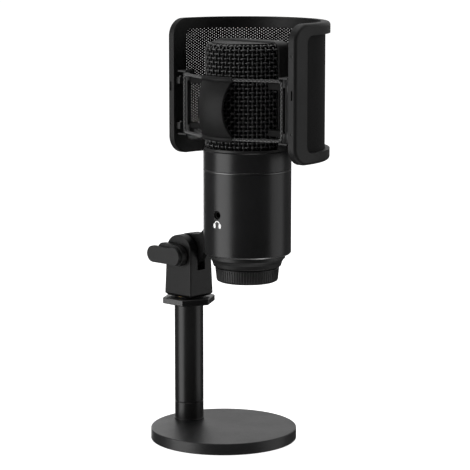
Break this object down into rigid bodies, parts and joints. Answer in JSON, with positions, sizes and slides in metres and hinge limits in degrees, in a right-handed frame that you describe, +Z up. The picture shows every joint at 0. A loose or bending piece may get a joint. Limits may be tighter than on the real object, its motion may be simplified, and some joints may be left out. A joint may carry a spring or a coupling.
{
  "type": "desktop microphone",
  "caption": "Side-address desktop microphone on a weighted round base with a short pole, a clevis swivel, and a U-shaped mesh pop filter held by an elastic cord.",
  "frame": {"origin": "centre of the base disc on the surface that it stands on", "axes": "+Z up; -Y towards the microphone's front, where the pop filter is closed; +X towards the pole"},
  "size_m": [0.1353, 0.1035, 0.2874],
  "materials": {
    "base_metal": "satin",
    "pad_rubber": "matte",
    "pole_metal": "satin",
    "hardware_steel": "satin",
    "nut_metal": "satin",
    "swivel_metal": "satin",
    "lever_metal": "satin",
    "washer_nylon": "matte",
    "thread_brass": "satin",
    "body_metal": "satin",
    "seam_metal": "satin",
    "collar_plastic": "satin",
    "dial_plastic": "satin",
    "port_metal": "satin",
    "board_green": "satin",
    "black_plastic": "matte",
    "button_plastic": "satin",
    "lens_plastic": "gloss",
    "head_metal": "satin",
    "grille_wire": "satin",
    "liner_foam": "matte",
    "capsule_metal": "satin",
    "diaphragm_gold": "gloss",
    "filter_frame_metal": "satin",
    "filter_mesh": "satin",
    "spacer_foam": "matte",
    "bracket_plastic": "satin",
    "bumper_rubber": "matte",
    "elastic_cord": "matte",
    "plate_plastic": "satin"
  },
  "bodies": {
    "stand": {"base_disc": "base_metal", "base_pad": "pad_rubber", "base_screw": "hardware_steel", "foot_washer": "pole_metal", "foot_collar": "pole_metal", "foot_insert": "hardware_steel", "pole_tube": "pole_metal", "pole_stud": "hardware_steel"},
    "lock_nut": {"hex_lock_nut": "nut_metal"},
    "swivel_block": {"thrust_washer": "washer_nylon", "clevis_block": "swivel_metal", "thread_insert": "thread_brass", "pivot_nut": "hardware_steel", "friction_washers": "washer_nylon"},
    "thumb_screw": {"thumb_shaft": "hardware_steel", "thumb_lever": "lever_metal"},
    "microphone": {"swivel_arm": "swivel_metal", "arm_screws": "hardware_steel", "lower_housing": "body_metal", "seam_ring": "seam_metal", "upper_ring": "body_metal", "bottom_collar": "collar_plastic", "dial_core": "collar_plastic", "usb_socket": "port_metal", "dial_encoder": "black_plastic", "main_board": "board_green", "headphone_socket": "black_plastic", "button_board": "board_green", "mute_switch": "black_plastic", "status_lens": "lens_plastic", "head_deck": "black_plastic", "head_frame": "head_metal", "rear_grille": "grille_wire", "front_grille": "grille_wire", "grille_liner": "liner_foam", "capsule_body": "capsule_metal", "capsule_diaphragm": "diaphragm_gold", "capsule_cradle": "black_plastic"},
    "volume_dial": {"volume_dial": "dial_plastic"},
    "mute_button": {"mute_button": "button_plastic"},
    "pop_filter": {"filter_frame": "filter_frame_metal", "frame_screws": "hardware_steel", "outer_mesh": "filter_mesh", "mesh_spacer": "spacer_foam", "inner_mesh": "filter_mesh", "inner_frame": "filter_frame_metal", "left_bracket": "bracket_plastic", "right_bracket": "bracket_plastic", "bracket_pins": "hardware_steel", "left_bumpers": "bumper_rubber", "right_bumpers": "bumper_rubber", "left_cord": "elastic_cord", "right_cord": "elastic_cord"},
    "pull_plate": {"pull_plate": "plate_plastic", "plate_cord": "elastic_cord"}
  },
  "joints": [
    {"name": "lock_nut_spin", "type": "hinge", "parent": "stand", "child": "lock_nut", "pos_m": [0.033, 0, 0.0931], "axis": [0, 0, 1], "continuous": true},
    {"name": "swivel_turn", "type": "hinge", "parent": "stand", "child": "swivel_block", "pos_m": [0.033, 0, 0.1], "axis": [0, 0, 1], "range_deg": [-180, 180]},
    {"name": "thumb_screw_turn", "type": "hinge", "parent": "swivel_block", "child": "thumb_screw", "pos_m": [0.0312, 0.015, 0.1248], "axis": [0, 1, 0], "range_deg": [-170, 170]},
    {"name": "microphone_tilt", "type": "hinge", "parent": "swivel_block", "child": "microphone", "pos_m": [0.0312, 0, 0.1248], "axis": [0, 1, 0], "range_deg": [-24, 90]},
    {"name": "volume_turn", "type": "hinge", "parent": "microphone", "child": "volume_dial", "pos_m": [-0.022, 0, 0.118], "axis": [0, 0, 1], "range_deg": [-140, 140]},
    {"name": "mute_press", "type": "slide", "parent": "microphone", "child": "mute_button", "axis": [0, 1, 0], "range_m": [0, 0.0008], "stiffness_N_per_m": 1200},
    {"name": "pop_filter_height", "type": "slide", "parent": "microphone", "child": "pop_filter", "axis": [0, 0, 1], "range_m": [-0.006, 0.02]},
    {"name": "pull_plate_out", "type": "slide", "parent": "pop_filter", "child": "pull_plate", "axis": [0, 1, 0], "range_m": [0, 0.012], "stiffness_N_per_m": 150, "deforming": ["left_cord", "right_cord"]}
  ]
}
